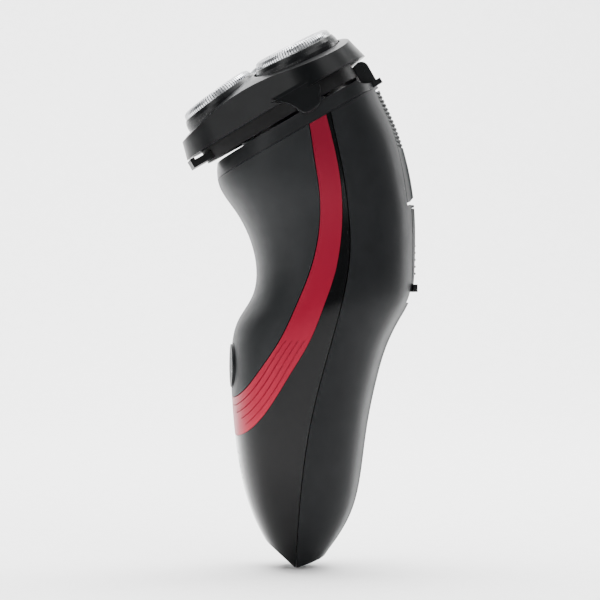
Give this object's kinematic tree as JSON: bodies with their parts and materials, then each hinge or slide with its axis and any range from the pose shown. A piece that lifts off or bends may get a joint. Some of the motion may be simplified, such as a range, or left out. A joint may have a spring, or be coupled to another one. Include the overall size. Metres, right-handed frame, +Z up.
{
  "type": "electric shaver",
  "caption": "Battery rotary shaver with a leaning hinged shaving unit, waisted handle with a crimson band, thumb button, rear pop-up trimmer and a charging inlet at the tip.",
  "frame": {"origin": "centre of the bounding box at its lowest point, the tip of the handle", "axes": "+Z up along the handle to the head, -Y the thumb side with the button, +Y the trimmer side, X the width"},
  "size_m": [0.061, 0.0672, 0.1535],
  "materials": {
    "soft_charcoal": "soft-touch coating",
    "gloss_black": "polished",
    "matte_dark": "fine matt",
    "crimson": "metallic lacquer",
    "collar_dark": "satin",
    "head_black": "satin gloss",
    "chamber_black": "matt",
    "ring_dark": "satin",
    "cap_steel": "ground",
    "blade_steel": "ground",
    "pin_steel": "bright",
    "frame_grey": "matt",
    "gear_nylon": "natural nylon",
    "spindle_plastic": "matt",
    "board_green": "solder mask",
    "cell_wrap": "shrink wrap",
    "nickel": "nickel plated",
    "motor_can": "zinc plated",
    "seal_rubber": "moulded",
    "lens_smoke": "smoked clear",
    "lamp_white": "clear",
    "inlet_black": "matt"
  },
  "bodies": {
    "handle": {"back_shell": "matte_dark", "front_shell": "gloss_black", "grip_panel": "soft_charcoal", "accent_band": "crimson", "shoulder_collar": "collar_dark", "drive_deck": "collar_dark", "motor_bridge": "frame_grey", "inner_chassis": "frame_grey", "battery_cell_left": "cell_wrap", "battery_cell_right": "cell_wrap", "cell_link": "nickel", "circuit_board": "board_green", "tactile_switch": "inlet_black", "charge_lamp": "lamp_white", "charge_lens": "lens_smoke", "motor": "motor_can", "motor_screws": "pin_steel", "spindle_seals": "seal_rubber", "charging_inlet": "inlet_black", "inlet_pins": "pin_steel", "button_seal": "seal_rubber", "hinge_pin": "pin_steel", "trimmer_pin": "pin_steel"},
    "motor_rotor": {"motor_shaft": "pin_steel", "central_gear": "gear_nylon"},
    "shaving_unit": {"head_housing": "head_black", "hair_chamber": "chamber_black", "retaining_frame": "frame_grey"},
    "lock_wheel": {"lock_wheel": "frame_grey"},
    "release_tab": {"release_tab": "chamber_black"},
    "power_button": {"power_button": "soft_charcoal"},
    "trimmer": {"trimmer_door": "matte_dark", "trimmer_carrier": "chamber_black", "trimmer_comb": "blade_steel"},
    "trimmer_blade": {"trimmer_blade": "blade_steel"},
    "trimmer_slide": {"trimmer_slide": "collar_dark"},
    "spindle_front": {"drive_gear_front": "gear_nylon", "spindle_front": "spindle_plastic"},
    "head_front": {"head_ring_front": "ring_dark", "slotted_cap_front": "cap_steel"},
    "cutter_front": {"cutter_front": "blade_steel"},
    "spindle_right": {"drive_gear_right": "gear_nylon", "spindle_right": "spindle_plastic"},
    "head_right": {"head_ring_right": "ring_dark", "slotted_cap_right": "cap_steel"},
    "cutter_right": {"cutter_right": "blade_steel"},
    "spindle_left": {"drive_gear_left": "gear_nylon", "spindle_left": "spindle_plastic"},
    "head_left": {"head_ring_left": "ring_dark", "slotted_cap_left": "cap_steel"},
    "cutter_left": {"cutter_left": "blade_steel"}
  },
  "joints": [
    {"name": "head_open", "type": "hinge", "parent": "handle", "child": "shaving_unit", "pos_m": [0, 0.01655, 0.14242], "axis": [-1, 0, 0], "range_deg": [0, 85]},
    {"name": "spindle_front_spin", "type": "hinge", "parent": "handle", "child": "spindle_front", "pos_m": [0, -0.01025, 0.11563], "axis": [0, -0.5, 0.866], "continuous": true},
    {"name": "motor_spin", "type": "hinge", "parent": "handle", "child": "motor_rotor", "pos_m": [0, 0.00222, 0.12283], "axis": [0, -0.5, 0.866], "continuous": true},
    {"name": "spindle_right_spin", "type": "hinge", "parent": "handle", "child": "spindle_right", "pos_m": [0.01247, 0.00846, 0.12643], "axis": [0, -0.5, 0.866], "continuous": true},
    {"name": "spindle_left_spin", "type": "hinge", "parent": "handle", "child": "spindle_left", "pos_m": [-0.01247, 0.00846, 0.12643], "axis": [0, -0.5, 0.866], "continuous": true},
    {"name": "head_front_tilt", "type": "hinge", "parent": "shaving_unit", "child": "head_front", "pos_m": [0, -0.02039, 0.13173], "axis": [1, 0, 0], "range_deg": [-2.5, 2.5], "stiffness_Nm_per_rad": 0.05},
    {"name": "cutter_front_spin", "type": "hinge", "parent": "head_front", "child": "cutter_front", "pos_m": [0, -0.02157, 0.13335], "axis": [0, -0.5878, 0.809], "continuous": true},
    {"name": "head_right_tilt", "type": "hinge", "parent": "shaving_unit", "child": "head_right", "pos_m": [0.01311, -0.00073, 0.14308], "axis": [-0.5, 0.75, 0.433], "range_deg": [-2.5, 2.5], "stiffness_Nm_per_rad": 0.05},
    {"name": "cutter_right_spin", "type": "hinge", "parent": "head_right", "child": "cutter_right", "pos_m": [0.01329, -0.00163, 0.14486], "axis": [0.0905, -0.452, 0.8874], "continuous": true},
    {"name": "head_left_tilt", "type": "hinge", "parent": "shaving_unit", "child": "head_left", "pos_m": [-0.01311, -0.00073, 0.14308], "axis": [-0.5, -0.75, -0.433], "range_deg": [-2.5, 2.5], "stiffness_Nm_per_rad": 0.05},
    {"name": "cutter_left_spin", "type": "hinge", "parent": "head_left", "child": "cutter_left", "pos_m": [-0.01329, -0.00163, 0.14486], "axis": [-0.0905, -0.452, 0.8874], "continuous": true},
    {"name": "lock_wheel_turn", "type": "hinge", "parent": "shaving_unit", "child": "lock_wheel", "pos_m": [0, -0.00428, 0.13409], "axis": [0, -0.5, 0.866], "range_deg": [0, 45]},
    {"name": "release_tab_press", "type": "slide", "parent": "shaving_unit", "child": "release_tab", "axis": [0, 0.866, 0.5], "range_m": [0, 0.0012], "stiffness_N_per_m": 800},
    {"name": "power_button_press", "type": "slide", "parent": "handle", "child": "power_button", "axis": [0, 1, 0], "range_m": [0, 0.0006], "stiffness_N_per_m": 1500},
    {"name": "trimmer_open", "type": "hinge", "parent": "handle", "child": "trimmer", "pos_m": [0, 0.02807, 0.1086], "axis": [-1, 0, 0], "range_deg": [0, 50]},
    {"name": "trimmer_blade_stroke", "type": "slide", "parent": "trimmer", "child": "trimmer_blade", "axis": [1, 0, 0], "range_m": [-0.0008, 0.0008]},
    {"name": "trimmer_slide_press", "type": "slide", "parent": "handle", "child": "trimmer_slide", "axis": [0, 0, -1], "range_m": [0, 0.0025], "stiffness_N_per_m": 400}
  ],
  "couplings": [
    {"joint": "motor_spin", "follows": "spindle_front_spin", "ratio": -1},
    {"joint": "spindle_right_spin", "follows": "spindle_front_spin", "ratio": 1},
    {"joint": "spindle_left_spin", "follows": "spindle_front_spin", "ratio": 1},
    {"joint": "cutter_front_spin", "follows": "spindle_front_spin", "ratio": 1},
    {"joint": "cutter_right_spin", "follows": "spindle_front_spin", "ratio": 1},
    {"joint": "cutter_left_spin", "follows": "spindle_front_spin", "ratio": 1}
  ]
}
